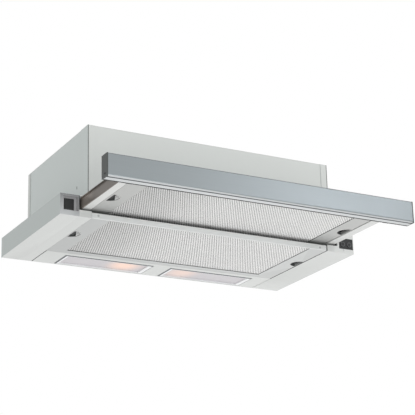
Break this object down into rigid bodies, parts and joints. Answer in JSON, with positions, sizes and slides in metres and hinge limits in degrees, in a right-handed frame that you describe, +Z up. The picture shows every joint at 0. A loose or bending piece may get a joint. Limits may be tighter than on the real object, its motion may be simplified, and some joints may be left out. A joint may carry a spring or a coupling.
{
  "type": "built-in cooker hood",
  "caption": "Slide-out extractor hood for a wall cabinet: wide flat base with grease filters and lamps, sliding front bar with its own filter, blower box and duct collar above.",
  "frame": {"origin": "middle of the lower edge of the hood's rear face, on the wall", "axes": "+X along the width to the right as seen from the room, +Y towards the wall, +Z up"},
  "size_m": [0.598, 0.4755, 0.202],
  "materials": {
    "grey_paint": "satin silver-grey powder coat",
    "bar_aluminium": "brushed along its length",
    "filter_aluminium": "satin",
    "mesh_aluminium": "expanded and fluted sheet",
    "zinc_steel": "zinc plated",
    "dark_plastic": "fine grain",
    "pocket_plastic": "fine grain",
    "cap_plastic": "satin",
    "white_plastic": "satin",
    "housing_plastic": "satin",
    "cover_plastic": "frosted",
    "lamp_glass": "clear",
    "lamp_cap_metal": "bright",
    "motor_metal": "satin lacquer",
    "capacitor_case": "drawn can",
    "buffer_rubber": "matt"
  },
  "bodies": {
    "hood": {"base_side_left": "grey_paint", "base_side_right": "grey_paint", "base_rear_panel": "grey_paint", "drawer_runner_left": "zinc_steel", "drawer_runner_right": "zinc_steel", "box_side_left": "grey_paint", "box_side_right": "grey_paint", "box_front_panel": "grey_paint", "box_rear_panel": "grey_paint", "box_top_panel": "grey_paint", "corner_angle_left": "grey_paint", "corner_angle_right": "grey_paint", "lamp_panel": "grey_paint", "lamp_tray_left": "zinc_steel", "lamp_tray_right": "zinc_steel", "lamp_holders": "white_plastic", "lamp_caps": "lamp_cap_metal", "lamp_glasses": "lamp_glass", "filter_frame_fixed": "filter_aluminium", "filter_mesh_fixed": "mesh_aluminium", "filter_layers_fixed": "mesh_aluminium", "switch_bezel": "pocket_plastic", "lamp_switch": "housing_plastic", "control_block": "dark_plastic", "scroll_left": "housing_plastic", "scroll_right": "housing_plastic", "motor": "motor_metal", "motor_bracket": "zinc_steel", "duct_spigot": "dark_plastic", "flap_pin": "zinc_steel", "terminal_box": "white_plastic", "capacitor": "capacitor_case", "cable_gland": "dark_plastic", "drawer_switch": "housing_plastic", "spigot_screws": "zinc_steel"},
    "drawer": {"drawer_rail_left": "grey_paint", "drawer_rail_right": "grey_paint", "drawer_cover": "grey_paint", "drawer_rear_bar": "grey_paint", "front_bar": "bar_aluminium", "bar_cap_left": "cap_plastic", "bar_cap_right": "cap_plastic", "bar_brackets": "zinc_steel", "bar_bumpers": "buffer_rubber", "filter_frame_drawer": "filter_aluminium", "filter_mesh_drawer": "mesh_aluminium", "filter_layers_drawer": "mesh_aluminium"},
    "blower": {"blower_wheel": "dark_plastic", "motor_shaft": "zinc_steel"},
    "latch_fixed_left": {"latch_fixed_left": "dark_plastic"},
    "latch_fixed_right": {"latch_fixed_right": "dark_plastic"},
    "latch_drawer_left": {"latch_drawer_left": "dark_plastic"},
    "latch_drawer_right": {"latch_drawer_right": "dark_plastic"},
    "lamp_cover_left": {"lamp_cover_left": "cover_plastic"},
    "lamp_cover_right": {"lamp_cover_right": "cover_plastic"},
    "lamp_button": {"lamp_button": "dark_plastic"},
    "speed_button_inner": {"speed_button_inner": "dark_plastic"},
    "speed_button_outer": {"speed_button_outer": "dark_plastic"},
    "flap_front": {"flap_front": "housing_plastic"},
    "flap_rear": {"flap_rear": "housing_plastic"}
  },
  "joints": [
    {"name": "drawer_slide", "type": "slide", "parent": "hood", "child": "drawer", "axis": [0, 1, 0], "range_m": [0, 0.1705]},
    {"name": "blower_spin", "type": "hinge", "parent": "hood", "child": "blower", "pos_m": [0, -0.103, 0.099], "axis": [1, 0, 0], "continuous": true},
    {"name": "flap_front_hinge", "type": "hinge", "parent": "hood", "child": "flap_front", "pos_m": [0, -0.143, 0.186], "axis": [1, 0, 0], "range_deg": [-75, 0]},
    {"name": "flap_rear_hinge", "type": "hinge", "parent": "hood", "child": "flap_rear", "pos_m": [0, -0.143, 0.186], "axis": [1, 0, 0], "range_deg": [0, 75]},
    {"name": "latch_fixed_left_slide", "type": "slide", "parent": "hood", "child": "latch_fixed_left", "axis": [1, 0, 0], "range_m": [0, 0.0046], "stiffness_N_per_m": 300},
    {"name": "latch_fixed_right_slide", "type": "slide", "parent": "hood", "child": "latch_fixed_right", "axis": [-1, 0, 0], "range_m": [0, 0.0046], "stiffness_N_per_m": 300},
    {"name": "latch_drawer_left_slide", "type": "slide", "parent": "drawer", "child": "latch_drawer_left", "axis": [1, 0, 0], "range_m": [0, 0.0046], "stiffness_N_per_m": 300},
    {"name": "latch_drawer_right_slide", "type": "slide", "parent": "drawer", "child": "latch_drawer_right", "axis": [-1, 0, 0], "range_m": [0, 0.0046], "stiffness_N_per_m": 300},
    {"name": "lamp_cover_left_release", "type": "slide", "parent": "hood", "child": "lamp_cover_left", "axis": [0, 0, -1], "range_m": [0, 0.03]},
    {"name": "lamp_cover_right_release", "type": "slide", "parent": "hood", "child": "lamp_cover_right", "axis": [0, 0, -1], "range_m": [0, 0.03]},
    {"name": "lamp_button_push", "type": "slide", "parent": "hood", "child": "lamp_button", "axis": [0, 1, 0], "range_m": [0, 0.0025], "stiffness_N_per_m": 250},
    {"name": "speed_button_inner_push", "type": "slide", "parent": "hood", "child": "speed_button_inner", "axis": [0, 1, 0], "range_m": [0, 0.0025], "stiffness_N_per_m": 250},
    {"name": "speed_button_outer_push", "type": "slide", "parent": "hood", "child": "speed_button_outer", "axis": [0, 1, 0], "range_m": [0, 0.0025], "stiffness_N_per_m": 250}
  ]
}
